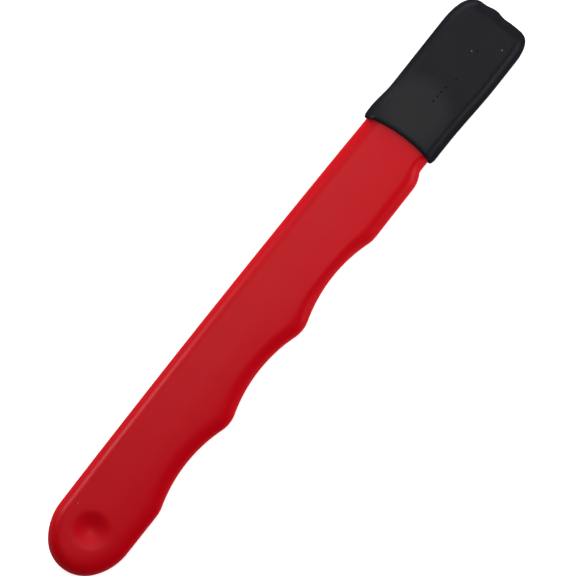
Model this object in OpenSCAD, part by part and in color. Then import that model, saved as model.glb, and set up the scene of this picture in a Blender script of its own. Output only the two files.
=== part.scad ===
// Hand sharpener with a finger-groove grip.
//
// A flat steel blank is dipped in soft vinyl up to its neck. A carbide tip is
// brazed into a rebate at the bare nose, and a push-on cap covers the nose.
//
// Working axes: X runs from the butt to the tip, with x = 0 at the steel's butt.
// +Y is the spine, -Y the side with the finger grooves, and z = 0 the middle of
// the steel. placed() then moves every piece so that the tool lies on z = 0.

/* [Steel blank] */
// Thickness of the steel
steel_t = 3.2; // [2.6:0.1:3.8]
// Width of the steel at the butt and at the first crest
steel_w = 14.7; // [13.7:0.1:16.5]
// Radius of the butt's end
butt_r = 6.3; // [5.8:0.1:6.8]
// Radius of the two flanks beside it
flank_r = 10.8; // [9.6:0.2:14]
// Distance from the butt to the first crest
butt_l = 18.6; // [16.5:0.1:22]
// Radius of the spine's slight bow
spine_r = 3000; // [2000:100:6000]
// Distance from the butt to the highest point of the bow
spine_peak = 47; // [40:0.5:60]
// Radius of the hang hole in the steel
hang_r = 3.2; // [2.4:0.1:3.6]
// Distance from the butt to the hang hole
hang_x = 8; // [7.4:0.1:9.5]

/* [Finger grooves] */
// Number of grooves
groove_count = 3; // [2:1:4]
// Distance from one crest to the next
groove_pitch = 23.4; // [21:0.1:27]
// Depth of a groove's floor below its crests
groove_depth = 1.85; // [1.2:0.05:2.2]
// Radius of a crest in the steel
crest_r = 5.7; // [4.5:0.1:7]
// Angle at which the crests close on the spine, in degrees
crest_taper = 0.3; // [0:0.1:0.8]

/* [Neck] */
// Length of the flat for the index finger, past the last crest
index_l = 11.9; // [9:0.1:17]
// Drop from that flat to the neck
step_h = 1.1; // [0.8:0.05:1.6]
// Radius of the step's outer bend in the steel
step_crest_r = 5; // [3:0.1:6]
// Radius of the step's inner bend in the steel
step_root_r = 2; // [1.6:0.1:4]

/* [Vinyl grip] */
// Thickness of the dipped coating
coat_t = 1; // [0.8:0.05:1.3]
// How far in from its edge the grip's face starts to round over
grip_round = 3; // [2.4:0.1:3]
// Length of coated neck that the cap covers
coat_overlap = 3; // [2:0.1:4]
// Depth of the dimple over the hang hole
dimple_d = 1.2; // [0.6:0.05:1.5]
// Radius of that dimple
dimple_r = 4; // [3.4:0.1:4.6]

/* [Nose] */
// Length of bare steel from the dip line to the nose
nose_l = 24.3; // [21:0.1:30]
// Length over which the nose narrows
nose_taper_l = 8; // [5:0.5:11]
// Width of the nose at its end
nose_w = 9.6; // [8:0.1:10.6]
// Radius of the nose's corners
nose_r = 0.8; // [0.5:0.1:1.5]

/* [Carbide tip] */
// Length of the carbide
carbide_l = 9; // [7:0.5:12]
// Width of the carbide
carbide_w = 11.2; // [10:0.1:11.4]
// Thickness of the carbide
carbide_t = 1.8; // [1.3:0.1:1.9]
// Width of its front edge between the ground corners
carbide_front_w = 5; // [3.6:0.1:5.6]
// How far the carbide stands out past the nose
carbide_reach = 2.6; // [1.5:0.1:4]
// How far its underside is ground back from its cutting edges
carbide_relief = 0.35; // [0.1:0.05:0.6]
// Depth of the rebate that it sits in
rebate_d = 1.2; // [1:0.05:1.6]
// Thickness of the braze under and behind it
braze_t = 0.12; // [0.06:0.01:0.2]
// Leg of the braze fillet behind it
braze_leg = 0.5; // [0.3:0.05:0.8]

/* [Tip cap] */
// Thickness of the cap's wall
cap_wall = 0.8; // [0.7:0.05:1.2]
// Clearance between the cap and the coated neck
cap_clear = 0.1; // [0.08:0.01:0.25]
// Clearance between the carbide and the closed end of the cap
cap_end_clear = 0.6; // [0.5:0.05:1.2]
// Length of neck left bare between the step and the cap
cap_gap = 2.8; // [1.6:0.1:5]
// How far in from its side the cap's face starts to round over
cap_round = 2.4; // [2:0.1:2.7]
// How far the spine side of the mouth stands ahead of the groove side
cap_skew = 1; // [0:0.1:1.6]
// How far the middle of each face is cut back at the mouth
cap_bow = 1.1; // [0.4:0.1:1.8]
// How far the wall draws in past the mouth on the spine side
cap_waist = 0.5; // [0:0.05:0.55]
// How far the wall swells past the mouth on the groove side
cap_swell = 0.5; // [0:0.05:1]
// Height of the bulge that the carbide raises in the closed end
cap_bulge = 0.4; // [0.1:0.05:0.8]

/* [Hidden] */

// Colours
STEEL = "silver";
CARBIDE = "dimgray";
BRAZE = "khaki";
RED_VINYL = "crimson";
BLACK_VINYL = "#222326";

// Fineness of curves: the widest turn, in degrees, and the longest chord of an arc
arc_turn = 9;
arc_chord = 3.5;
rim_steps = 10;
cap_rim_steps = 10;
cap_side_step = 2.4;
cap_corner_steps = 8;
dimple_steps = 12;
circle_fn = 96;

// Points of an outline closer than this are one point
same_point = 0.01;
// No bend of an outline is drawn in to less than this radius
least_r = 0.05;
// Cutters reach this far past what they cut
past = 1;
// Round-overs rise this much beyond a flat face, which then trims them
face_trim = 1.01;

// Crests and grooves: a crest circle on each side of every groove circle, all touching
half_pitch = groove_pitch / 2;
centre_gap = (pow(half_pitch, 2) + pow(groove_depth, 2)) / (2 * groove_depth);
groove_r = centre_gap - crest_r;
crest_y = -steel_w / 2 + crest_r;
groove_out = sqrt(pow(centre_gap, 2) - pow(half_pitch, 2));
first_crest = [butt_l, crest_y];

// Butt: the flanks touch the end circle inside and reach the full width
flank_y = flank_r - steel_w / 2;
flank_x = butt_r + sqrt(pow(flank_r - butt_r, 2) - pow(flank_y, 2));

// Spine: one wide circle that touches the spine-side flank inside
spine_y = -flank_y - sqrt(pow(spine_r - flank_r, 2) - pow(spine_peak - flank_x, 2));

// Step and neck
step_gap = step_crest_r + step_root_r;
index_end = along_crests(groove_count * groove_pitch + index_l, step_crest_r - crest_r);
neck_y = index_end.y - step_crest_r + step_h;
neck_root = [
    index_end.x + sqrt(pow(step_gap, 2) - pow(step_gap - step_h, 2)),
    neck_y - step_root_r
];

// Stations along the tool
mouth_x = neck_root.x + cap_gap;
dip_x = mouth_x + coat_overlap;
nose_x = dip_x + nose_l;
tip_x = nose_x + carbide_reach;

// Coating: its own rounded end lies past the dip line, so that it thins towards it
grip_half_t = steel_t / 2 + coat_t;
coat_runout = 1.5;
coat_end = dip_x + coat_runout;
coat_corner_r = grip_round - coat_t + least_r;

// Carbide and rebate
nose_y = (spine_at(mouth_x) + neck_y) / 2;
rebate_z = steel_t / 2 - rebate_d;
carbide_z = rebate_z + braze_t;
carbide_back = tip_x - carbide_l;
rebate_back = carbide_back - braze_t;

// Cap: its inner faces at the mouth, and how they run on from there
cap_start = mouth_x - cap_skew;
cap_in_spine = spine_at(mouth_x) + coat_t + cap_clear;
cap_in_groove = neck_y - coat_t - cap_clear;
cap_in_half_t = grip_half_t + cap_clear;
cap_half_t = cap_in_half_t + cap_wall;
cap_waist_run = [2.2, 8.5];
cap_swell_run = [4, 20];
// Length and depth of the closed end's corners, outside
spine_corner = [7.4, 5];
groove_corner = [6.4, 2.5];
face_corner = [2.2, 2.2];
cap_in_end = tip_x + cap_end_clear;
cap_end = cap_in_end + cap_wall;
bulge_rings = [0.75, 0.5, 0.25, 0.05];

// Overall box, for the place of the origin
tool_low_y = -steel_w / 2 - coat_t;
tool_high_y = max(spine_y + spine_r + coat_t, cap_in_spine + cap_wall);
tool_end = cap_end + cap_bulge;
middle = [(tool_end - coat_t) / 2, (tool_low_y + tool_high_y) / 2];

// Height of the steel's spine edge at x
function spine_at(x) = spine_y + sqrt(pow(spine_r, 2) - pow(x - spine_peak, 2));

// A point `run` along the tapered line of crest centres and `out` from it, to the spine side
function along_crests(run, out = 0) =
    first_crest
    + run * [cos(crest_taper), sin(crest_taper)]
    + out * [-sin(crest_taper), cos(crest_taper)];

// Smooth rise from 0 at from_to[0] to 1 at from_to[1]
function rise(x, from_to) =
    let(t = (x - from_to[0]) / (from_to[1] - from_to[0]), u = max(0, min(1, t)))
    u * u * (3 - 2 * u);

// A pulley is [x, y, radius]. A negative radius presses on the belt from outside.
function pulley(centre, r) = [centre.x, centre.y, r];

// The pulley of radius r that fits the corner between the spine and a square end at x
function spine_pulley(x, r) = [x - r, spine_at(x - r) - r, r];

// An angle brought between -180 and 180 degrees
function wrapped(angle) = let(a = angle % 360) a > 180 ? a - 360 : a < -180 ? a + 360 : a;

// Direction of the outward normal where a belt runs from pulley a to pulley b
function belt_normal(a, b) =
    let(run = [b.x - a.x, b.y - a.y], lift = (a.z - b.z) / norm(run))
    atan2(run.y, run.x) - acos(max(-1, min(1, lift)));

// A belt pulled round the pulleys, anticlockwise: [x, y, radius, normal] for each point
function belt(pulleys) =
    let(
        count = len(pulleys),
        all = [
            for (i = [0 : count - 1])
                let(
                    here = pulleys[i],
                    start = belt_normal(pulleys[(i + count - 1) % count], here),
                    turn = wrapped(belt_normal(here, pulleys[(i + 1) % count]) - start),
                    bend = abs(turn * here.z) * PI / 180,
                    steps = ceil(max(abs(turn) / arc_turn, bend / arc_chord, 1))
                )
                for (k = [0 : steps])
                    [here.x, here.y, here.z, start + turn * k / steps]
        ],
        last = len(all) - 1
    )
    [
        for (i = [0 : last])
            if (norm(on_belt(all[i]) - on_belt(all[i == 0 ? last : i - 1])) > same_point)
                all[i]
    ];

// Where a point of the belt comes to when the belt moves outwards by `grow`
function on_belt(point, grow = 0) =
    let(
        radius = point[2] + grow,
        r = point[2] > 0 ? max(radius, least_r) : radius
    )
    [point.x + r * cos(point[3]), point.y + r * sin(point[3])];

function outline(pulleys, grow = 0) = [for (point = belt(pulleys)) on_belt(point, grow)];

function lifted(points, z) = [for (p = points) [p.x, p.y, z]];

// Butt, finger grooves and step, in order from the butt to the neck
handle_pulleys = concat(
    [[butt_r, 0, butt_r], [flank_x, flank_y, flank_r]],
    [
        for (i = [0 : groove_count])
            each [
                pulley(along_crests(i * groove_pitch), crest_r),
                if (i < groove_count)
                    pulley(along_crests((i + 0.5) * groove_pitch, -groove_out), -groove_r)
            ]
    ],
    [pulley(index_end, step_crest_r), pulley(neck_root, -step_root_r)]
);

// The spine and its flank close an outline from the nose back to the butt
spine_pulleys = [[spine_peak, spine_y, spine_r], [flank_x, -flank_y, flank_r]];

blank_pulleys = concat(
    handle_pulleys,
    [
        [nose_x - nose_taper_l, neck_y + nose_r, nose_r],
        [nose_x - nose_r, nose_y - nose_w / 2 + nose_r, nose_r],
        [nose_x - nose_r, nose_y + nose_w / 2 - nose_r, nose_r],
        spine_pulley(nose_x - nose_taper_l, nose_r)
    ],
    spine_pulleys
);

grip_pulleys = concat(
    handle_pulleys,
    [
        [coat_end - coat_corner_r, neck_y + coat_corner_r, coat_corner_r],
        spine_pulley(coat_end, coat_corner_r)
    ],
    spine_pulleys
);

// Outline of the carbide with its front and sides drawn in by `relief`
function carbide_outline(relief) =
    let(
        half_w = carbide_w / 2 - relief,
        half_front = carbide_front_w / 2 - relief,
        front = tip_x - relief,
        shoulder = front - (half_w - half_front)
    )
    [
        [carbide_back, nose_y - half_w],
        [shoulder, nose_y - half_w],
        [front, nose_y - half_front],
        [front, nose_y + half_front],
        [shoulder, nose_y + half_w],
        [carbide_back, nose_y + half_w]
    ];

// How far a corner of [length, depth] has drawn in when its end is `left` away
function corner_in(left, size) =
    let(q = max(0, min(1, 1 - left / size[0])))
    size[1] * (1 - sqrt(1 - q * q));

// Section of the cap at x, outside (wall = cap_wall) or inside (wall = 0)
function cap_section(x, wall) =
    let(
        left = cap_in_end + wall - x,
        thinner = [1, 1] * (cap_wall - wall),
        half_t = cap_in_half_t + wall - corner_in(left, face_corner - thinner),
        spine = cap_in_spine + wall
            - cap_waist * rise(x - cap_start, cap_waist_run)
            - corner_in(left, spine_corner - thinner),
        groove = cap_in_groove - wall
            - cap_swell * rise(x - cap_start, cap_swell_run)
            + corner_in(left, groove_corner - thinner),
        r = cap_round - cap_wall + wall
    )
    [
        for (side = [[spine - r, -90], [groove + r, 90]])
            for (k = [0 : cap_rim_steps])
                let(a = side[1] + 180 * k / cap_rim_steps)
                [x, side[0] + r * cos(a), face_trim * half_t * sin(a)]
    ];

// Stations along the cap: even along its sides, and closer together round its end
function cap_stations(start, end, corner_l) =
    let(sides = ceil((end - corner_l - start) / cap_side_step))
    concat(
        [for (k = [0 : sides - 1]) start + (end - corner_l - start) * k / sides],
        [for (k = [0 : cap_corner_steps]) end - corner_l * (1 - sin(90 * k / cap_corner_steps))]
    );

// A section drawn together towards the carbide's middle and pushed out as a bulge
function bulge_section(section, size) = [
    for (p = section)
        [
            p.x + cap_bulge * (1 - size * size),
            nose_y + size * (p.y - nose_y),
            size * p.z
        ]
];

// Closed solid through sections of equally many points, each anticlockwise from its far side
module skin(sections) {
    count = len(sections[0]);
    last = (len(sections) - 1) * count;
    sides = [
        for (k = [0 : len(sections) - 2])
            for (i = [0 : count - 1])
                let(a = k * count + i, b = k * count + (i + 1) % count)
                each [[a, b + count, b], [a, a + count, b + count]]
    ];
    near_end = [for (i = [0 : count - 1]) i];
    far_end = [for (i = [count - 1 : -1 : 0]) last + i];
    polyhedron([for (section = sections) each section], concat([near_end], sides, [far_end]));
}

// Everything within `half_t` of the middle plane, from x = start to the tool's end
module slab(start, half_t) {
    translate([start, -steel_w, -half_t])
        cube([tool_end + past - start, 2 * steel_w, 2 * half_t]);
}

module blank_solid() {
    difference() {
        translate([0, 0, -steel_t / 2])
            linear_extrude(steel_t)
                polygon(outline(blank_pulleys));
        translate([hang_x, 0, -steel_t / 2 - past])
            cylinder(h = steel_t + 2 * past, r = hang_r, $fn = circle_fn);
        translate([rebate_back, nose_y - steel_w, rebate_z])
            cube([carbide_l + past, 2 * steel_w, rebate_d + past]);
    }
}

// The dipped form: the outline's edge rounds over to a flat face on both sides
module dipped_form() {
    intersection() {
        skin([
            for (k = [-rim_steps / 2 : rim_steps / 2])
                let(a = 180 * k / rim_steps, inset = grip_round * (1 - cos(a)))
                lifted(outline(grip_pulleys, coat_t - inset), face_trim * grip_half_t * sin(a))
        ]);
        slab(-coat_t - past, grip_half_t);
    }
}

// Bell-shaped cutter that sinks `dimple_d` below z = 0 and runs out level at `dimple_r`
module dimple_cutter() {
    bell = [
        for (k = [0 : dimple_steps])
            let(s = k / dimple_steps)
            [dimple_r * s, -dimple_d * (1 + cos(180 * s)) / 2]
    ];
    rotate_extrude($fn = circle_fn)
        polygon(concat([[0, past]], bell, [[dimple_r, past]]));
}

module steel_blank() {
    color(STEEL) blank_solid();
}

module carbide_tip() {
    color(CARBIDE)
        skin([
            lifted(carbide_outline(carbide_relief), carbide_z),
            lifted(carbide_outline(0), carbide_z + carbide_t)
        ]);
}

// A film on the rebate's floor and back wall, with a fillet up the carbide's back
module braze_seat() {
    width = nose_w - 2 * nose_r;
    profile = [
        [rebate_back, rebate_z],
        [nose_x, rebate_z],
        [nose_x, carbide_z],
        [carbide_back, carbide_z],
        [carbide_back, steel_t / 2 + braze_leg],
        [rebate_back - braze_leg, steel_t / 2],
        [rebate_back, steel_t / 2]
    ];
    color(BRAZE)
        translate([0, nose_y + width / 2, 0])
            rotate([90, 0, 0])
                linear_extrude(width)
                    polygon(profile);
}

module vinyl_grip() {
    color(RED_VINYL)
        difference() {
            dipped_form();
            blank_solid();
            slab(dip_x, grip_half_t + past);
            for (turn = [0, 180])
                rotate([turn, 0, 0])
                    translate([hang_x, 0, grip_half_t])
                        dimple_cutter();
        }
}

// Disc whose rim is the bowed and skewed line of the cap's cut mouth
module mouth_cutter() {
    spine_end = [cap_start, cap_in_spine + cap_wall];
    groove_end = [mouth_x, cap_in_groove - cap_wall];
    chord = spine_end - groove_end;
    r = pow(norm(chord), 2) / (8 * cap_bow) + cap_bow / 2;
    ahead = [chord.y, -chord.x] / norm(chord);
    centre = (spine_end + groove_end) / 2 + (cap_bow - r) * ahead;
    translate([centre.x, centre.y, -cap_half_t - past])
        cylinder(h = 2 * (cap_half_t + past), r = r, $fn = circle_fn);
}

module tip_cap() {
    corner_l = max(spine_corner[0], groove_corner[0]);
    outside = [for (x = cap_stations(cap_start, cap_end, corner_l)) cap_section(x, cap_wall)];
    end_section = outside[len(outside) - 1];
    inside = [
        for (x = cap_stations(cap_start - past, cap_in_end, corner_l - cap_wall))
            cap_section(x, 0)
    ];
    color(BLACK_VINYL)
        difference() {
            intersection() {
                skin(concat(outside, [for (size = bulge_rings) bulge_section(end_section, size)]));
                slab(cap_start - past, cap_half_t);
            }
            intersection() {
                skin(inside);
                slab(cap_start - 2 * past, cap_in_half_t);
            }
            mouth_cutter();
        }
}

// Lays the tool on z = 0 with its middle over the origin
module placed() {
    translate([-middle.x, -middle.y, cap_half_t]) children();
}

placed() steel_blank();
placed() carbide_tip();
placed() braze_seat();
placed() vinyl_grip();
placed() tip_cap();
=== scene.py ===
# %% [markdown]
# # A capped hand sharpener with a dipped grip
#
# The tool is a flat steel bar, short enough for a pocket. Its handle was dipped in hot red vinyl,
# its nose carries a small block of carbide, and a soft black cap is pushed over that nose.
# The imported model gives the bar, the carbide and the braze at their true size and place. This
# lesson dresses them: it makes the two soft pieces again as smooth surfaces worked out with numpy,
# gives every piece a procedural finish, and lights them on a pale table.

import math

import bmesh
import bpy
import numpy as np
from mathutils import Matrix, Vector


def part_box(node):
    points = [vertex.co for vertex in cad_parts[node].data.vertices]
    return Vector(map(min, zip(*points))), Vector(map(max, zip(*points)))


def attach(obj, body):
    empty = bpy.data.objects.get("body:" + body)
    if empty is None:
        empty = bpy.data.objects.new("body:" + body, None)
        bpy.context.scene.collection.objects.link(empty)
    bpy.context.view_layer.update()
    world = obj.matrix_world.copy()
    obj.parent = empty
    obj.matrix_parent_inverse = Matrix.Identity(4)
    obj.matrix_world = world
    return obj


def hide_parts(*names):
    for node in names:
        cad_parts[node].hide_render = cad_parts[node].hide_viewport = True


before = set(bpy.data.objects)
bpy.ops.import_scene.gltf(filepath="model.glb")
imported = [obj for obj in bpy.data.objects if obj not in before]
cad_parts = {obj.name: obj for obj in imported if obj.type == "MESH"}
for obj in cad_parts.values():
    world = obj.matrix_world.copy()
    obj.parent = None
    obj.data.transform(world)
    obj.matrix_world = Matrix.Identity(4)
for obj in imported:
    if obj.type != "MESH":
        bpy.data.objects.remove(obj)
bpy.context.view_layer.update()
MM = 0.001

# %% [markdown]
# ## Where the tool lies
#
# The grip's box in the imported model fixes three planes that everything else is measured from: the
# butt's tip, the lowest side of the finger crests, and the middle of the bar's thickness. Sizes
# below are in millimetres from those planes, as a workshop drawing has them, and one function
# brings finished points into the model's metres.

# %% Datum planes
STEEL_WIDTH = 14.7
COAT = 1.0

grip_low, grip_high = (np.array(corner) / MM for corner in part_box("vinyl_grip"))
cap_low, cap_high = (np.array(corner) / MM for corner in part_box("tip_cap"))
HALF_THICK = (grip_high[2] - grip_low[2]) / 2
datum = np.array([
    grip_low[0] + COAT,
    grip_low[1] + COAT + STEEL_WIDTH / 2,
    (grip_low[2] + grip_high[2]) / 2,
])
dip_x = grip_high[0] - datum[0]


def to_model(points):
    """Workshop millimetres to the model's metres: (point + datum) times 0.001."""
    return (np.asarray(points, float) + datum) * MM


print("datum", datum.round(3), "half thickness", round(HALF_THICK, 3), "dip line", round(dip_x, 2))

# %% [markdown]
# ## The camera
#
# The tool is shown from straight above, as a flat-lay product shot is. A long lens keeps the sides
# of the bar parallel, and the camera is rolled so that the tool runs up to the right.

# %% Camera
VIEW_WIDTH = 114.5
CAMERA_HEIGHT = 620.0
ROLL = math.radians(51.6)
VIEW_CENTRE = np.array([1.15, -0.9])

camera_data = bpy.data.cameras.new("camera")
camera_data.sensor_width = 36
camera_data.lens = camera_data.sensor_width * CAMERA_HEIGHT / VIEW_WIDTH
camera_data.clip_start = 0.01
camera = bpy.data.objects.new("camera", camera_data)
bpy.context.scene.collection.objects.link(camera)
camera.location = (*(VIEW_CENTRE * MM), CAMERA_HEIGHT * MM)
camera.rotation_euler = (0, 0, -ROLL)
bpy.context.scene.camera = camera
print("lens", round(camera_data.lens, 1), "mm")

# %% [markdown]
# ## A belt round pulleys
#
# The handle's edge is a row of arcs that run smoothly into each other: the round butt, the crests
# between the fingers, the hollows that the fingers lie in, and the small step down to the neck.
# The arcs could be drawn by hand, but then a wider coat would need a new drawing. A belt pulled
# round pulleys gives them all at once. A pulley with a negative radius presses on the belt from
# outside, which makes a hollow, and adding a length to every radius moves the whole belt outwards.

# %% Belt outline
TURN_STEP, CHORD_STEP = math.radians(0.5), 0.08


def belt(pulleys):
    """Points of a belt round pulleys (x, y, radius), anticlockwise.

    Between two pulleys the belt's outward normal is the direction of their centres' line turned
    back by acos((ra - rb) / distance). On a pulley the normal swings from one such direction to
    the next. Returns centre, radius and normal angle of each point, so that the belt can be moved.
    """
    pulleys = np.array(pulleys, float)
    ahead = np.roll(pulleys, -1, axis=0)
    run = ahead[:, :2] - pulleys[:, :2]
    lift = (pulleys[:, 2] - ahead[:, 2]) / np.hypot(run[:, 0], run[:, 1])
    leave = np.arctan2(run[:, 1], run[:, 0]) - np.arccos(np.clip(lift, -1, 1))
    arrive = np.roll(leave, 1)
    turn = (leave - arrive + math.pi) % (2 * math.pi) - math.pi
    steps = np.ceil(np.maximum(
        np.abs(turn) / TURN_STEP, np.abs(turn * pulleys[:, 2]) / CHORD_STEP
    )).astype(int) + 1
    share = np.concatenate([np.linspace(0, 1, n + 1) for n in steps])
    which = np.repeat(np.arange(len(pulleys)), steps + 1)
    return pulleys[which, :2], pulleys[which, 2], arrive[which] + turn[which] * share


def moved(centre, radius, normal, grow):
    """Each belt point is centre + (radius + grow) times (cos normal, sin normal)."""
    reach = (radius + grow)[:, None]
    return centre + reach * np.column_stack([np.cos(normal), np.sin(normal)])

# %% [markdown]
# The pulleys are placed by the sizes that a drawing of the stamped bar would give: the width, the
# pitch and depth of the finger hollows, and the radii of the crests and of the step.

# %% Pulleys of the handle
BUTT_R, FLANK_R, BUTT_LENGTH = 6.3, 10.8, 18.6
GROOVES, PITCH, DEPTH, CREST_R = 3, 23.4, 1.85, 5.7
TAPER = math.radians(0.3)
INDEX_LENGTH, STEP_DROP, STEP_CREST_R, STEP_ROOT_R = 11.9, 1.1, 5.0, 2.0
SPINE_R, SPINE_PEAK = 3000.0, 47.0
DIP_CORNER_R = 0.3

centre_gap = ((PITCH / 2) ** 2 + DEPTH ** 2) / (2 * DEPTH)
groove_out = math.sqrt(centre_gap ** 2 - (PITCH / 2) ** 2)
first_crest = np.array([BUTT_LENGTH, CREST_R - STEEL_WIDTH / 2])
along = np.array([math.cos(TAPER), math.sin(TAPER)])
across = np.array([-math.sin(TAPER), math.cos(TAPER)])

flank_y = FLANK_R - STEEL_WIDTH / 2
flank_x = BUTT_R + math.sqrt((FLANK_R - BUTT_R) ** 2 - flank_y ** 2)
spine_y = -flank_y - math.sqrt((SPINE_R - FLANK_R) ** 2 - (SPINE_PEAK - flank_x) ** 2)

index_end = (
    first_crest + (GROOVES * PITCH + INDEX_LENGTH) * along + (STEP_CREST_R - CREST_R) * across
)
neck_y = index_end[1] - STEP_CREST_R + STEP_DROP
step_gap = STEP_CREST_R + STEP_ROOT_R
root_x = index_end[0] + math.sqrt(step_gap ** 2 - (step_gap - STEP_DROP) ** 2)


def spine_at(x):
    """Height of the bar's spine edge: spine_y + sqrt(R squared - (x - peak) squared)."""
    return spine_y + np.sqrt(SPINE_R ** 2 - (np.asarray(x) - SPINE_PEAK) ** 2)


crests = [
    (*(first_crest + i * PITCH * along), CREST_R)
    for i in range(GROOVES + 1)
]
hollows = [
    (*(first_crest + (i + 0.5) * PITCH * along - groove_out * across), CREST_R - centre_gap)
    for i in range(GROOVES)
]
finger_side = [pulley for pair in zip(crests, hollows) for pulley in pair] + crests[-1:]
dip_end = dip_x - COAT
handle_pulleys = (
    [(BUTT_R, 0, BUTT_R), (flank_x, flank_y, FLANK_R)]
    + finger_side
    + [(*index_end, STEP_CREST_R), (root_x, neck_y - STEP_ROOT_R, -STEP_ROOT_R)]
    + [(dip_end - DIP_CORNER_R, neck_y + DIP_CORNER_R, DIP_CORNER_R)]
    + [(dip_end - DIP_CORNER_R, float(spine_at(dip_end)) - DIP_CORNER_R, DIP_CORNER_R)]
    + [(SPINE_PEAK, spine_y, SPINE_R), (flank_x, -flank_y, FLANK_R)]
)
print("pulleys:", len(handle_pulleys), "neck at", round(neck_y, 2), "step ends at", round(root_x, 2))

# %% [markdown]
# ## Putting a surface into a mesh
#
# Each new piece is a grid of points: rows of equally many points, worked out as one numpy array.
# Neighbouring rows are joined by quads. Where rows shrink to a point or meet along a middle line,
# the doubled points are merged afterwards, so that the skin is closed everywhere.

# %% Grid to mesh
SKIN_MERGE, COPY_MERGE = 1e-7, 1e-6  # metres


def grid_faces(rows, columns):
    """Quads between neighbouring rows, and from each row's last point back to its first."""
    row = np.arange(rows - 1)[:, None] * columns
    column = np.arange(columns)[None, :]
    beside = (column + 1) % columns
    corners = [row + column, row + beside, row + beside + columns, row + column + columns]
    return np.stack(corners, axis=-1).reshape(-1, 4)


def skin(name, points):
    """An object from a grid of workshop points, smooth, with its doubled points merged."""
    rows, columns = points.shape[:2]
    vertices = to_model(points.reshape(-1, 3))
    mesh = bpy.data.meshes.new(name)
    mesh.from_pydata(vertices.tolist(), [], grid_faces(rows, columns).tolist())
    piece = bpy.data.objects.new(name, mesh)
    bpy.context.scene.collection.objects.link(piece)
    solid = bmesh.new()
    solid.from_mesh(mesh)
    bmesh.ops.remove_doubles(solid, verts=solid.verts, dist=SKIN_MERGE)
    bmesh.ops.recalc_face_normals(solid, faces=solid.faces)
    solid.to_mesh(mesh)
    open_edges = sum(1 for edge in solid.edges if len(edge.link_faces) != 2)
    solid.free()
    mesh.shade_smooth()
    print(name, "faces:", len(mesh.polygons), "open edges:", open_edges)
    return piece


def rise(x, start, end):
    """Smooth step: 3 t squared - 2 t cubed, with t running from 0 at start to 1 at end."""
    t = np.clip((np.asarray(x, float) - start) / (end - start), 0, 1)
    return t * t * (3 - 2 * t)


def bump(distance, reach):
    """Bell: half of 1 + cos(180 degrees times distance / reach), and 0 past the reach."""
    return 0.5 * (1 + np.cos(math.pi * np.clip(distance / reach, 0, 1)))

# %% [markdown]
# ## The dipped grip
#
# Dipping leaves the vinyl flat on the faces and round on the edges. It drains towards one edge, so
# the finger side rolls over more gently than the spine. The bar's hang hole is too small for the
# vinyl to run out of, so a film closes it, and the film sinks as it cools: that is the dimple near
# the butt.
#
# A bevel on a flat shape would give one even radius. Here the edge is a quarter of a superellipse,
# and its width and fullness depend on where the edge faces, which gives the gentler roll for
# nothing. The face is made of ribs that run from that edge to a middle line. Round the butt the ribs
# turn about the hang hole like spokes, so the dimple over it comes out smooth.

# %% Ribs of the grip
HANG_X = 8.0
LAST_RIB_GAP = 2.0
RIB_STEP = 0.36
SPOKES_BUTT, SPOKES_DIP, SPOKE_MARGIN = 90, 96, 1

LAST_RIB_X = dip_end - LAST_RIB_GAP
blank_belt = belt(handle_pulleys)
edge = moved(*blank_belt, COAT)
facing = blank_belt[2]
middle_y = (neck_y + float(spine_at(dip_end))) / 2


def edge_at(wanted, along_edge, part):
    """Edge points and edge normals where `along_edge`, known at each point of `part`, is `wanted`."""
    order = np.argsort(along_edge[part])
    known = along_edge[part][order]
    columns = np.column_stack([edge, np.cos(facing), np.sin(facing)])[part][order]
    found = np.column_stack([np.interp(wanted, known, column) for column in columns.T])
    return found[:, :2], found[:, 2:] / np.linalg.norm(found[:, 2:], axis=1)[:, None]


def about(x, y):
    """Direction of each edge point seen from (x, y), in degrees from 0 to 360."""
    return np.degrees(np.arctan2(edge[:, 1] - y, edge[:, 0] - x)) % 360


rib_x = np.linspace(HANG_X, LAST_RIB_X, round((LAST_RIB_X - HANG_X) / RIB_STEP) + 1)
from_butt = about(HANG_X, 0)
from_dip = (about(LAST_RIB_X, middle_y) + 180) % 360
groove_side, groove_out_dir = edge_at(rib_x, edge[:, 0], np.sin(facing) < 0)
spine_side, spine_out_dir = edge_at(rib_x, edge[:, 0], np.sin(facing) > 0)
dip_side, dip_out_dir = edge_at(
    np.linspace(90, 270, SPOKES_DIP + 1)[1:-1], from_dip, edge[:, 0] > LAST_RIB_X - SPOKE_MARGIN
)
butt_side, butt_out_dir = edge_at(
    np.linspace(90, 270, SPOKES_BUTT + 1)[1:-1], from_butt, edge[:, 0] < HANG_X + SPOKE_MARGIN
)
rib_edge = np.concatenate([groove_side, dip_side, spine_side[::-1], butt_side])
rib_out = np.concatenate([groove_out_dir, dip_out_dir, spine_out_dir[::-1], butt_out_dir])
rib_foot_x = np.concatenate([
    rib_x, np.full(len(dip_side), LAST_RIB_X), rib_x[::-1], np.full(len(butt_side), HANG_X)
])
along_middle = np.clip((rib_foot_x - HANG_X) / (LAST_RIB_X - HANG_X), 0, 1)
rib_foot = np.column_stack([rib_foot_x, middle_y * along_middle])
print("ribs:", len(rib_edge))

# %% [markdown]
# The roll of the edge, the dimple with its leaning floor, the drained finger side and a slight
# waviness are functions of the place on the face. Vinyl that cools on a bar is never quite level,
# so the face rises and falls by up to a hundredth of a millimetre.

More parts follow.
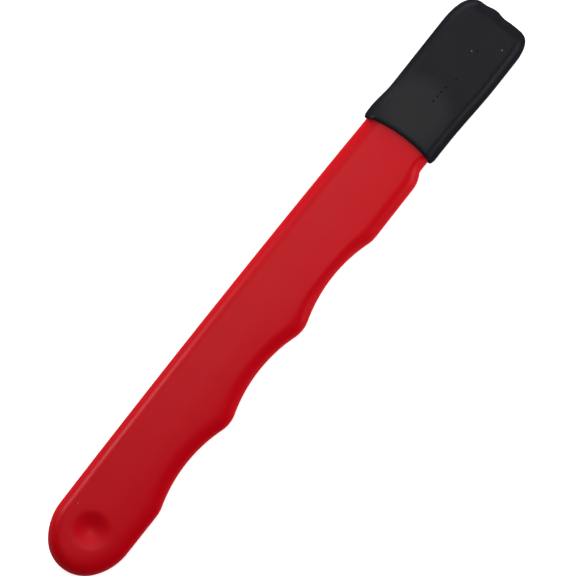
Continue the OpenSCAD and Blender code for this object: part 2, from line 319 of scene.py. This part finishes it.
# %% Skin of the grip
BUTT_SPAN, NECK_SPAN = 20.0, 95.0
SPINE_ROLL_BUTT, SPINE_ROLL_NECK = 2.6, 3.4
FINGER_ROLL_BUTT, FINGER_ROLL_NECK = 4.4, 2.8
CREST_ROLL, CREST_MEAN_Y = 0.7, -7.4
CREST_FACING, CREST_SPAN = (0.6, 0.9), (10, 18)
DIP_ROLL, DIP_ROLL_FROM, DIP_ROLL_TO = 0.9, 3.5, 0.5
ELLIPSE, FULLNESS = 2, 0.5
DIMPLE_X, DIMPLE_DEPTH, DIMPLE_R = 8.5, 0.7, 4.4
DIMPLE_LEAN, LEAN_ANGLE = 0.4, math.radians(45)
DRAIN, DRAIN_ACROSS = 0.3, (-1, 8)
DRAIN_FADE, DRAIN_ALONG = 0.7, (40, 90)
WAVE = 0.02
RIPPLES = [(0.19, 0.31, 0.4), (0.43, -0.52, 1.9), (0.71, 0.23, 4.2)]
ROLL_STEPS, FACE_STEPS = 16, 16

to_neck = rise(rib_edge[:, 0], BUTT_SPAN, NECK_SPAN)
spine_roll = SPINE_ROLL_BUTT + (SPINE_ROLL_NECK - SPINE_ROLL_BUTT) * to_neck
finger_roll = FINGER_ROLL_BUTT + (FINGER_ROLL_NECK - FINGER_ROLL_BUTT) * to_neck
on_crests = rise(-rib_out[:, 1], *CREST_FACING) * rise(rib_edge[:, 0], *CREST_SPAN)
finger_roll = finger_roll + CREST_ROLL * on_crests * (CREST_MEAN_Y - rib_edge[:, 1])
roll = finger_roll + (spine_roll - finger_roll) * (1 + rib_out[:, 1]) / 2
at_dip_line = rise(rib_edge[:, 0], dip_end - DIP_ROLL_FROM, dip_end - DIP_ROLL_TO)
roll = roll + (DIP_ROLL - roll) * at_dip_line
power = ELLIPSE + FULLNESS * np.maximum(roll - SPINE_ROLL_BUTT, 0)


def wave(x, y):
    """Mean of slow sine waves that cross at odd angles, times WAVE / 2.

    A ripple is sin(a x + b y + phase), with a and b in radians per millimetre.
    """
    ripples = sum(np.sin(a * x + b * y + phase) for a, b, phase in RIPPLES)
    return WAVE / (2 * len(RIPPLES)) * ripples


def face_height(x, y):
    """Half thickness with waves, less a bell over the hang hole and a drained finger side.

    The bell's depth is multiplied by 1 + DIMPLE_LEAN times the distance from its middle, counted
    in the direction LEAN_ANGLE and divided by DIMPLE_R, so its floor leans. The drained side sinks
    DRAIN in a smooth step towards the fingers' edge, and the step fades towards the neck.
    """
    lean = (math.cos(LEAN_ANGLE) * (x - DIMPLE_X) + math.sin(LEAN_ANGLE) * y) / DIMPLE_R
    sunk = bump(np.hypot(x - DIMPLE_X, y), DIMPLE_R) * (1 + DIMPLE_LEAN * lean)
    drained = rise(-y, *DRAIN_ACROSS) * (1 - DRAIN_FADE * rise(x, *DRAIN_ALONG))
    return HALF_THICK + wave(x, y) - WAVE / 2 - DRAIN * drained - DIMPLE_DEPTH * sunk


def half_grip():
    """One face, from the widest line inwards: rows of points, one per rib.

    The roll is a quarter of a superellipse: at an angle a, a point lies roll times
    (1 - cos(a) to the 2 / power) in from the edge, at sin(a) to the 2 / power times the face's
    height. From there the rib runs straight to its foot.
    """
    angle = np.linspace(0, math.pi / 2, ROLL_STEPS + 1)[:, None]
    inset = roll * (1 - np.clip(np.cos(angle), 0, 1) ** (2 / power))
    rolled = rib_edge - inset[:, :, None] * rib_out
    share = np.linspace(0, 1, FACE_STEPS + 1)[1:, None, None]
    level = rolled[-1] + (rib_foot - rolled[-1]) * share
    flat = np.concatenate([rolled, level])
    lift = np.concatenate([np.sin(angle) ** (2 / power), np.ones((FACE_STEPS, len(roll)))])
    return np.dstack([flat, lift * face_height(flat[:, :, 0], flat[:, :, 1])])


upper = half_grip()
lower = (upper * [1, 1, -1])[:0:-1]
grip = skin("red_grip", np.concatenate([lower, upper]))
over_corner = (1 - (1 - COAT / roll) ** power) ** (1 / power) * HALF_THICK
print("least height over the bar's corner:", round(float(over_corner.min()), 2))

# %% [markdown]
# The skin is still a solid lump, and the real coat has the bar inside it. The bar is already in the
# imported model, so a copy of it is cut out of the lump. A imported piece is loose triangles, which is
# fine to look at but not to cut with, so the copy's corners are merged first.

# %% Room for the bar
def merged_copy(node):
    """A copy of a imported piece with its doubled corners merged."""
    copy = bpy.data.objects.new(node + "_copy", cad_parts[node].data.copy())
    bpy.context.scene.collection.objects.link(copy)
    solid = bmesh.new()
    solid.from_mesh(copy.data)
    bmesh.ops.remove_doubles(solid, verts=solid.verts, dist=COPY_MERGE)
    solid.to_mesh(copy.data)
    solid.free()
    return copy


def apply_modifiers(piece):
    """Puts what the modifiers make into the mesh itself."""
    made = piece.evaluated_get(bpy.context.evaluated_depsgraph_get())
    mesh = bpy.data.meshes.new_from_object(made)
    piece.modifiers.clear()
    old, piece.data = piece.data, mesh
    mesh.name = piece.name
    bpy.data.meshes.remove(old)


bar = merged_copy("steel_blank")
cut = grip.modifiers.new("room for the bar", "BOOLEAN")
cut.operation, cut.solver, cut.object = "DIFFERENCE", "EXACT", bar
apply_modifiers(grip)
bpy.data.objects.remove(bar)
print("grip faces:", len(grip.data.polygons))

# %% [markdown]
# ## The push-on cap
#
# The cap is a sleeve of soft black vinyl, closed at one end. It was made on a flat former and then
# trimmed, so its mouth is cut a little askew and bows back in the middle. Where it is stretched
# over the coated neck it stands thicker, and past the coat it sinks back to its own size. Its
# closed end bulges where the carbide stands behind it, and is dented above that.
#
# A loft suits it: one closed ring of points per station, from the middle of the closed end, back
# along the outside to the mouth, round the lip, and in again along the inside. Outside and inside
# come from the same function. The inside has squarer sides and a squarer end, because the coat and
# the carbide in it are square, and it keeps its full width until it is past the coat. So the wall
# is CAP_WALL thick on the faces, and thinner where the outside is waisted or rounded.

# %% Measures of the cap
CAP_WALL = 0.8
OUTER_SIDE_R, INNER_SIDE_R = 2.4, 0.8
OUTER_END_CORNER, INNER_END_CORNER = (2.4, 2.2), (0.5, 0.4)
SPINE_CORNER, SPINE_POWER = (9, 5), 2.7
GROOVE_CORNER, GROOVE_POWER = (6.4, 3.2), 2.6
CAP_BOW, CAP_OVERLAP = 1.2, 3.2
CAP_WAIST, WAIST_LENGTH = 0.54, 6.8
OUTER_WAIST_FROM, INNER_WAIST_FROM = 1.2, 0.3
CAP_SWELL, SWELL_FROM, SWELL_TO = 0.5, 4, 20
MOUTH_OUT, MOUTH_R = 0.4, 0.35
END_OUT, LIP = 0.65, 1.1
SINK, SINK_FROM, SINK_TO = 0.26, 114.0, 122.0
SIDE_POINTS, FACE_POINTS = 24, 32

cap_first = cap_low[0] - datum[0] - MOUTH_OUT
cap_last = cap_high[0] - datum[0] - END_OUT
cap_half = (cap_high[2] - cap_low[2]) / 2
cap_spine_y = cap_high[1] - datum[1]
cap_groove_y = cap_low[1] - datum[1] + CAP_SWELL
mouth_groove_x = dip_x - CAP_OVERLAP - MOUTH_OUT


def corner(left, length, depth, power):
    """How far a corner has drawn in with `left` still to go, as a quarter of a superellipse.

    It is depth times (1 - (1 - q to the power) to the 1 / power); q is 0 at length and 1 at 0.
    """
    q = np.clip(1 - left / length, 0, 1)
    return depth * (1 - (1 - q ** power) ** (1 / power))


def mouth_line(y):
    """The cut: a line from the spine side to the groove side, plus a parabola's bow.

    Where it meets a side it turns back round a corner of radius MOUTH_R.
    """
    across = (cap_spine_y - y) / (cap_spine_y - cap_groove_y)
    cut = cap_first + (mouth_groove_x - cap_first) * across + 4 * CAP_BOW * across * (1 - across)
    to_spine = corner(cap_spine_y - y, MOUTH_R, MOUTH_R, ELLIPSE)
    to_groove = corner(y - cap_groove_y, MOUTH_R, MOUTH_R, ELLIPSE)
    return cut + to_spine + to_groove


def cap_rings(stations, wall, side_r, end_corner, waist_from):
    """Rings at the stations: two half ellipses joined by level faces, all drawn in by `wall`.

    The half ellipses are `side_r` wide. The spine's side is waisted from `waist_from` on. The
    faces draw in at the closed end by `end_corner`, a length and a depth. Each ring is run back to
    the bowed mouth line in proportion to its distance from the end.
    """
    end = cap_last - wall
    left = end - stations
    waist = CAP_WAIST * rise(stations, waist_from, waist_from + WAIST_LENGTH)
    swell = CAP_SWELL * rise(stations, cap_first + SWELL_FROM, cap_first + SWELL_TO)
    spine_corner = corner(left, SPINE_CORNER[0] - wall, SPINE_CORNER[1] - wall, SPINE_POWER)
    groove_corner = corner(left, GROOVE_CORNER[0] - wall, GROOVE_CORNER[1] - wall, GROOVE_POWER)
    face_corner = corner(left, *end_corner, ELLIPSE)
    spine = cap_spine_y - wall - waist - spine_corner
    groove = cap_groove_y + wall - swell + groove_corner
    half = cap_half - wall - SINK * rise(stations, SINK_FROM, SINK_TO) - face_corner
    turn = np.linspace(-math.pi / 2, math.pi / 2, SIDE_POINTS + 1)
    share = np.linspace(0, 1, FACE_POINTS + 1)[1:-1]
    level = np.ones(len(share))
    spine_in, groove_in = (spine - side_r)[:, None], (groove + side_r)[:, None]
    y = np.concatenate([
        spine_in + side_r * np.cos(turn),
        spine_in + (groove_in - spine_in) * share,
        groove_in - side_r * np.cos(turn),
        groove_in + (spine_in - groove_in) * share,
    ], axis=1)
    z = half[:, None] * np.concatenate([np.sin(turn), level, -np.sin(turn), -level])
    mouth = mouth_line(y) + LIP
    x = mouth + (end - mouth) * ((stations - cap_first) / (end - cap_first))[:, None]
    return np.stack([x, y, z], axis=-1)


def closed_end(ring, steps=10):
    """Rings that shrink from the last one to a point in the middle of the closed end."""
    size = np.linspace(1, 0, steps + 1)[1:, None, None]
    middle = ring.mean(axis=0)
    return middle + size * (ring - middle)


# %% [markdown]
# The closed end is shaped last, and only on its outside, so that nothing pushes in on the carbide.

# %% Skin of the cap
DENT, DENT_Y, DENT_REACH = 0.5, 1.2, 4.2
DENT_HEIGHT, DENT_DROP = (-1.5, 2.2), 0.1
BULGE, BULGE_Y, BULGE_REACH = 0.5, 1.1, 3.0
SQUARE_SIDE, SQUARE_ACROSS = 0.05, (-5, 1)
END_FADE = 6
CORNER_LENGTH = 9.0
SIDE_STEP, CORNER_STEPS, LIP_STEPS = 0.5, 30, 8


def cap_stations(end):
    """Even steps along the sides, then steps of 1 - sin that crowd towards the end."""
    sides = np.arange(cap_first, end - CORNER_LENGTH, SIDE_STEP)
    turn = np.linspace(0, math.pi / 2, CORNER_STEPS + 1)
    return np.concatenate([sides, end - CORNER_LENGTH * (1 - np.sin(turn))])


def lip(outer, inner):
    """Half an ellipse from the outer ring to the inner one, bulging LIP towards the butt."""
    turn = np.linspace(0, math.pi, LIP_STEPS + 1)[1:-1, None, None]
    rings = (outer + inner) / 2 + (outer - inner) / 2 * np.cos(turn)
    rings[:, :, 0] -= LIP * np.sin(turn)[:, :, 0]
    return rings


def dented(points):
    """The closed end: further out on its groove side, bulged by the carbide, dented above.

    The groove side stands SQUARE_SIDE out in a smooth step. The bulge and the dent are bells
    across the end, and the dent fades out downwards over the heights DENT_HEIGHT. It also lowers
    the face by DENT_DROP of its depth. All of it fades in over the last END_FADE millimetres.
    """
    x, y, z = points[..., 0], points[..., 1], points[..., 2]
    out = SQUARE_SIDE * rise(-y, *SQUARE_ACROSS) + BULGE * bump(np.abs(y - BULGE_Y), BULGE_REACH)
    push = DENT * bump(np.abs(y - DENT_Y), DENT_REACH) * rise(z, *DENT_HEIGHT)
    near_end = rise(x, cap_last - END_FADE, cap_last)
    moves = [(out - push) * near_end, 0 * y, -DENT_DROP * push * near_end]
    return points + np.stack(moves, axis=-1)


outside = cap_rings(
    cap_stations(cap_last), 0.0, OUTER_SIDE_R, OUTER_END_CORNER, cap_first + OUTER_WAIST_FROM
)
inside = cap_rings(
    cap_stations(cap_last - CAP_WALL), CAP_WALL, INNER_SIDE_R, INNER_END_CORNER,
    dip_x + INNER_WAIST_FROM,
)
cap_points = np.concatenate([
    dented(np.concatenate([closed_end(outside[-1])[::-1], outside[::-1]])),
    lip(outside[0], inside[0]),
    inside,
    closed_end(inside[-1]),
])
cap = skin("black_cap", cap_points)

# %% [markdown]
# ## Bare metal
#
# The bar shows at the nose once the cap is off. A stamped bar has its edges broken in a tumbler, and
# it is that small round edge that catches the light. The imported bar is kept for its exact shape; a
# copy of it gets a narrow bevel and stands in its place.

# %% Broken edges of the bar
EDGE_BREAK = 0.22
BREAK_SEGMENTS, BREAK_ANGLE = 3, math.radians(40)

blank = merged_copy("steel_blank")
blank.name = blank.data.name = "broken_edge_bar"
bevel = blank.modifiers.new("edge break", "BEVEL")
bevel.width = EDGE_BREAK * MM
bevel.segments = BREAK_SEGMENTS
bevel.limit_method, bevel.angle_limit = "ANGLE", BREAK_ANGLE
bevel.harden_normals = True
blank.data.shade_smooth()
apply_modifiers(blank)
print("bar faces:", len(blank.data.polygons))

# %% [markdown]
# ## Writing materials as sums
#
# A material is a graph of nodes, and most of the nodes only add and multiply. The class below wraps
# one socket. Plain arithmetic on it adds the Math nodes, so that a pattern reads like its formula.
# One method adds every other kind of node.

# %% Shader arithmetic
HEIGHT_SHARE = 0.25
SPOT_CORE = 0.5


class Wire:
    """One socket of a material. Arithmetic with wires and numbers adds Math nodes."""

    def __init__(self, socket):
        self.socket = socket

    @classmethod
    def node(cls, tree, kind, settings=None, inputs=None, output=0):
        """Adds a node, applies its settings, then fills its inputs with values or wires."""
        made = tree.nodes.new(kind)
        for name, value in (settings or {}).items():
            setattr(made, name, value)
        for name, value in (inputs or {}).items():
            if isinstance(value, cls):
                tree.links.new(value.socket, made.inputs[name])
            else:
                made.inputs[name].default_value = value
        return cls(made.outputs[output])

    def math(self, operation, other):
        """A Math node on this wire and another wire or a number."""
        inputs = {0: self, 1: other}
        return Wire.node(self.socket.id_data, "ShaderNodeMath", {"operation": operation}, inputs)

    def __add__(self, other):
        return self.math("ADD", other)

    def __sub__(self, other):
        return self.math("SUBTRACT", other)

    def __rsub__(self, other):
        return (self * -1) + other

    def __mul__(self, other):
        return self.math("MULTIPLY", other)

    __radd__ = __add__
    __rmul__ = __mul__

    def step(self, start, end):
        """0 below start, 1 above end, and smooth between them."""
        tree = self.socket.id_data
        settings = {"interpolation_type": "SMOOTHSTEP"}
        inputs = {"Value": self, "From Min": start, "From Max": end}
        return Wire.node(tree, "ShaderNodeMapRange", settings, inputs)


class Finish:
    """A Principled material under construction, with the patterns that the finishes share."""

    def __init__(self, name, **constants):
        self.material = bpy.data.materials.new(name)
        self.material.use_nodes = True
        self.tree = self.material.node_tree
        self.shader = self.tree.nodes["Principled BSDF"]
        for socket, value in constants.items():
            self.shader.inputs[socket.replace("_", " ")].default_value = value
        self.place = self.node("ShaderNodeTexCoord", output="Object")

    def node(self, kind, settings=None, inputs=None, output=0):
        """Adds a node to this material."""
        return Wire.node(self.tree, kind, settings, inputs, output)

    def noise(self, period, detail=2.0, stretch=(1, 1, 1)):
        """Noise from 0 to 1 with lumps about `period` millimetres across, times the stretch."""
        scale = [1 / (period * MM * longer) for longer in stretch]
        place = self.node("ShaderNodeMapping", inputs={"Vector": self.place, "Scale": scale})
        inputs = {"Vector": place, "Scale": 1.0, "Detail": detail}
        return self.node("ShaderNodeTexNoise", {"normalize": True}, inputs)

    def along(self, start, end):
        """0 where the tool's length is at start and 1 at end, smooth between (millimetres)."""
        x = self.node("ShaderNodeSeparateXYZ", inputs={"Vector": self.place}, output="X")
        return x.step(*(to_model([[start, 0, 0], [end, 0, 0]])[:, 0]).tolist())

    def apart(self, spot, height):
        """Distance of each point from a place (x, y), with heights counted at HEIGHT_SHARE."""
        flatter = (1, 1, HEIGHT_SHARE)
        settings, inputs = {"operation": "MULTIPLY"}, {0: self.place, 1: flatter}
        place = self.node("ShaderNodeVectorMath", settings, inputs)
        centre = (to_model([*spot, height]) * flatter).tolist()
        settings, inputs = {"operation": "DISTANCE"}, {0: place, 1: centre}
        return self.node("ShaderNodeVectorMath", settings, inputs, output=1)

    def spots(self, places, height, radius):
        """1 at small soft discs round the places and 0 between them."""
        core, rim = SPOT_CORE * radius * MM, radius * MM
        discs = [1 - self.apart(spot, height).step(core, rim) for spot in places]
        return sum(discs[1:], discs[0])

    def blend(self, share, first, second):
        """The first colour where share is 0 and the second where it is 1."""
        settings = {"data_type": "RGBA"}
        inputs = {0: share, 6: as_color(first), 7: as_color(second)}
        return self.node("ShaderNodeMix", settings, inputs, output=2)

    def feed(self, **wires):
        """Links wires to the shader's sockets."""
        for socket, wire in wires.items():
            self.tree.links.new(wire.socket, self.shader.inputs[socket.replace("_", " ")])

    def relief(self, height, strength=1.0):
        """Bumps of `height` millimetres on the shader's normal."""
        inputs = {"Height": height * MM, "Strength": strength, "Distance": 1.0}
        self.feed(Normal=self.node("ShaderNodeBump", inputs=inputs))


def as_color(value):
    """A wire as it is, and three numbers as an opaque colour."""
    return value if isinstance(value, Wire) else (*value, 1.0)


def dress(piece, finish):
    """Gives a piece one material."""
    piece.data.materials.clear()
    piece.data.materials.append(finish.material)

# %% [markdown]
# ## The finishes
#
# The red coat is plasticised vinyl that flowed before it set: softly glossy, with a faint orange
# peel, tiny pores, a speck of dust under the skin, and a colour that shifts a little with the flow.

# %% Red vinyl
VINYL_IOR, VINYL_SHEEN = 1.5, 0.09
RED_DEEP, RED_BRIGHT, RED_DUST = (0.60, 0.0005, 0.0065), (0.64, 0.001, 0.008), (0.7, 0.5, 0.5)
RED_ROUGHNESS = 0.34
DUST_ON_GRIP = [(11.3, 5.5)]
GRIP_DUST_R, GRIP_DUST_SHARE = 0.13, 0.5


def red_vinyl():
    """Colour and gloss follow the flow; the relief is peel and flow, less the pores."""
    finish = Finish("red dipped vinyl", IOR=VINYL_IOR, Specular_IOR_Level=VINYL_SHEEN)
    flow = finish.noise(9, detail=3, stretch=(2.5, 1, 1))
    peel = finish.noise(0.55, detail=2)
    pores = finish.noise(0.16, detail=1).step(0.74, 0.82)
    dust = finish.spots(DUST_ON_GRIP, HALF_THICK, GRIP_DUST_R)
    vinyl = finish.blend(flow, RED_DEEP, RED_BRIGHT)
    finish.feed(
        Base_Color=finish.blend(dust * GRIP_DUST_SHARE, vinyl, RED_DUST),
        Roughness=RED_ROUGHNESS + 0.08 * flow + 0.2 * pores,
    )
    finish.relief(0.0035 * peel - 0.01 * pores + 0.02 * flow, strength=0.6)
    return finish


# %% [markdown]
# The cap is the same vinyl in black, but moulded: grainy, with a few pinholes where air was caught and
# painted shade in them, two specks of dust, and a paler patch near the mouth that is a painted sheen
# for a lamp's soft reflection.

# %% Black vinyl
# The second colour is the paler black of the slow clouds and of the painted sheen near the mouth.
BLACK_PLAIN, BLACK_SHEEN_AND_CLOUD = (0.0100, 0.0100, 0.0140), (0.0212, 0.0212, 0.0232)
# The first colour here is the near black painted into the pinholes as painted shade; the second is the
# dust's own colour.
BLACK_PINHOLE_SHADE, BLACK_DUST = (0.001, 0.001, 0.001), (0.30, 0.30, 0.31)
BLACK_ROUGHNESS = 0.36
PINHOLES = [
    (116.7, -0.2), (117.9, -0.3), (119.0, -0.3), (120.3, -0.5), (122.8, -1.1), (129.7, -1.0),
]
DUST_ON_CAP = [(129.1, 0.0), (132.9, -4.6)]
# The middle value is how far the pinholes are painted towards near black: painted shade inside the
# pits.
PINHOLE_R, PINHOLE_SHADE_SHARE, CAP_DUST_R = 0.27, 0.7, 0.16
# The paler patch near the mouth is a painted sheen: it stands in for a lamp's soft reflection, not
# wear.
PAINTED_SHEEN_PATCH, PAINTED_SHEEN_FROM, PAINTED_SHEEN_TO = (113.3, 1.5), 4.0, 8.5
PAINTED_SHEEN_SHARE, CLOUD_SHARE = 0.85, 0.15


def black_vinyl():
    """Paler in slow clouds and in a painted sheen near the mouth, with painted shade in the pinholes;
    the relief is grain and slow clouds, less the pinholes.
    """
    finish = Finish("black moulded vinyl", IOR=VINYL_IOR, Specular_IOR_Level=VINYL_SHEEN)
    cloud = finish.noise(7, detail=3)
    grain = finish.noise(0.3, detail=3)
    holes = finish.spots(PINHOLES, cap_half, PINHOLE_R)
    dust = finish.spots(DUST_ON_CAP, cap_half, CAP_DUST_R)
    # Painted sheen: a soft paler disc near the mouth in place of a lamp's reflection.
    painted_sheen = 1 - finish.apart(PAINTED_SHEEN_PATCH, cap_half).step(PAINTED_SHEEN_FROM * MM, PAINTED_SHEEN_TO * MM)
    sheen_and_cloud = painted_sheen * PAINTED_SHEEN_SHARE + cloud * CLOUD_SHARE
    vinyl = finish.blend(sheen_and_cloud, BLACK_PLAIN, BLACK_SHEEN_AND_CLOUD)
    # Painted shade: the pinholes are coloured near black for the shade inside them.
    pinhole_shaded = finish.blend(holes * PINHOLE_SHADE_SHARE, vinyl, BLACK_PINHOLE_SHADE)
    finish.feed(
        Base_Color=finish.blend(dust, pinhole_shaded, BLACK_DUST),
        Roughness=BLACK_ROUGHNESS + 0.1 * cloud + 0.06 * grain + 0.4 * holes,
    )
    finish.relief(0.004 * grain + 0.02 * cloud - 0.12 * holes, strength=0.7)
    return finish


# %% [markdown]
# The metals show once the cap is off. The strip keeps the fine lines of its rolling and is browned
# at the nose by the heat of the brazing, the carbide is ground across, and the braze is left as it
# ran.

# %% Steel, carbide and braze
STEEL_GREY, STEEL_BROWNED = (0.24, 0.24, 0.245), (0.27, 0.21, 0.15)
HEAT_FROM, HEAT_TO, HEAT_SHARE = 112, 128, 0.6
CARBIDE_DARK, CARBIDE_PALE = (0.11, 0.11, 0.115), (0.17, 0.17, 0.175)
BRAZE_DARK, BRAZE_PALE = (0.42, 0.31, 0.13), (0.52, 0.42, 0.22)
STEEL_ROUGHNESS, CARBIDE_ROUGHNESS, BRAZE_ROUGHNESS = 0.36, 0.32, 0.3


def rolled_steel():
    """Long fine lines, slow stains, and a browned nose."""
    finish = Finish("cold rolled steel", Metallic=1.0)
    lines = finish.noise(0.12, detail=3, stretch=(40, 1, 1))
    stain = finish.noise(5, detail=3)
    heat = finish.along(HEAT_FROM, HEAT_TO)
    finish.feed(
        Base_Color=finish.blend(heat * HEAT_SHARE, STEEL_GREY, STEEL_BROWNED),
        Roughness=STEEL_ROUGHNESS + 0.14 * lines + 0.08 * stain,
    )
    finish.relief(0.006 * lines, strength=0.5)
    return finish


def ground_carbide():
    """Fine grinding lines across the tool, in colour, gloss and relief."""
    finish = Finish("ground carbide", Metallic=1.0)
    lines = finish.noise(0.08, detail=2, stretch=(1, 30, 1))
    finish.feed(
        Base_Color=finish.blend(lines, CARBIDE_DARK, CARBIDE_PALE),
        Roughness=CARBIDE_ROUGHNESS + 0.15 * lines,
    )
    finish.relief(0.003 * lines, strength=0.6)
    return finish


def silver_braze():
    """Lumps of a metal that ran and froze."""
    finish = Finish("silver braze", Metallic=1.0)
    flow = finish.noise(0.8, detail=3)
    finish.feed(
        Base_Color=finish.blend(flow, BRAZE_DARK, BRAZE_PALE),
        Roughness=BRAZE_ROUGHNESS + 0.2 * flow,
    )
    finish.relief(0.05 * flow, strength=0.8)
    return finish


dress(grip, red_vinyl())
dress(cap, black_vinyl())
dress(blank, rolled_steel())
dress(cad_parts["carbide_tip"], ground_carbide())
dress(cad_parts["braze_seat"], silver_braze())

# %% [markdown]
# The three new pieces stand in for packed ones, and each rides on the body that carries it. The
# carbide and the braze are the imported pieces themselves, so they need no such lines.

# %% Which body carries what
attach(grip, "tool")
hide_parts("vinyl_grip")
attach(cap, "cap")
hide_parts("tip_cap")
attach(blank, "tool")
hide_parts("steel_blank")

# %% [markdown]
# ## Table and light
#
# The table is a pale sweep that glows enough to read as white, and the vinyl doesn't mirror it. The
# room is nearly dark, a little paler low down and towards the cap's end. Soft lamps do the rest: a
# window past the tip, one overhead, a high card, a small card by the fingers, and on the spine side
# a narrow one that lights nothing and only shows as a gleam.

# %% Table
TABLE_SIZE, TABLE_DROP = 4.0, 0.00002  # metres
TABLE_WHITE, TABLE_GLOW, TABLE_ROUGHNESS = 0.8, 0.75, 0.9

side = TABLE_SIZE / 2
table_mesh = bpy.data.meshes.new("table")
table_mesh.from_pydata(
    [(x, y, -TABLE_DROP) for x, y in ((-side, -side), (side, -side), (side, side), (-side, side))],
    [], [(0, 1, 2, 3)],
)
table = bpy.data.objects.new("table", table_mesh)
bpy.context.scene.collection.objects.link(table)
dress(table, Finish(
    "pale sweep", Base_Color=(TABLE_WHITE, TABLE_WHITE, TABLE_WHITE, 1),
    Roughness=TABLE_ROUGHNESS, Emission_Color=(1, 1, 1, 1), Emission_Strength=TABLE_GLOW,
))
table.visible_glossy = False

# %% Room
ROOM_TOP, ROOM_RIM, ROOM_TIP = 0.01, 0.02, 0.02
OVERHEAD, TIPWARDS = (0.0, 0.5), (0.1, 0.9)


def light_room():
    """A dim world, whose strength is ROOM_RIM low down and ROOM_TOP overhead.

    Up to ROOM_TIP is added towards the cap's end. Both are smooth steps, over the direction's
    height and over its x.
    """
    world = bpy.data.worlds.new("room")
    bpy.context.scene.world = world
    world.use_nodes = True
    tree = world.node_tree
    direction = Wire.node(tree, "ShaderNodeTexCoord", output="Generated")
    height = Wire.node(tree, "ShaderNodeSeparateXYZ", inputs={"Vector": direction}, output="Z")
    lean = Wire.node(tree, "ShaderNodeSeparateXYZ", inputs={"Vector": direction}, output="X")
    upright = ROOM_RIM - (ROOM_RIM - ROOM_TOP) * height.step(*OVERHEAD)
    glow = upright + ROOM_TIP * lean.step(*TIPWARDS)
    background = tree.nodes["Background"]
    background.inputs["Color"].default_value = (1, 1, 1, 1)
    tree.links.new(glow.socket, background.inputs["Strength"])


light_room()

# %% Lamps
def soft_lamp(name, place, width, height, power):
    """A rectangular area lamp at `place`, in millimetres, that looks at the tool's middle."""
    lamp = bpy.data.lights.new(name, "AREA")
    lamp.shape, lamp.size, lamp.size_y, lamp.energy = "RECTANGLE", width * MM, height * MM, power
    holder = bpy.data.objects.new(name, lamp)
    holder.location = Vector(place) * MM
    holder.rotation_euler = Vector(place).to_track_quat("Z", "Y").to_euler()
    bpy.context.scene.collection.objects.link(holder)
    return holder


def around(azimuth, elevation, distance):
    """A place that far from the tool's middle in a direction given in degrees."""
    azimuth, elevation = math.radians(azimuth), math.radians(elevation)
    level = distance * math.cos(elevation)
    return level * math.cos(azimuth), level * math.sin(azimuth), distance * math.sin(elevation)


LAMPS = [
    ("window past the tip", around(46, 18, 500), 450, 250, 1.95),
    ("overhead", (50, 60, 900), 150, 150, 1.85),
    ("high card", around(60, 60, 500), 300, 300, 0.44),
    ("card by the fingers", (90, -140, 85), 80, 80, 0.15),
]
GLEAMS = [
    ("spine gleam", (-62, 210, 153), 35, 60, 0.46),
]
for lamp in LAMPS:
    soft_lamp(*lamp)
for gleam in GLEAMS:
    soft_lamp(*gleam).visible_diffuse = False
bpy.context.scene.view_settings.view_transform = "Standard"
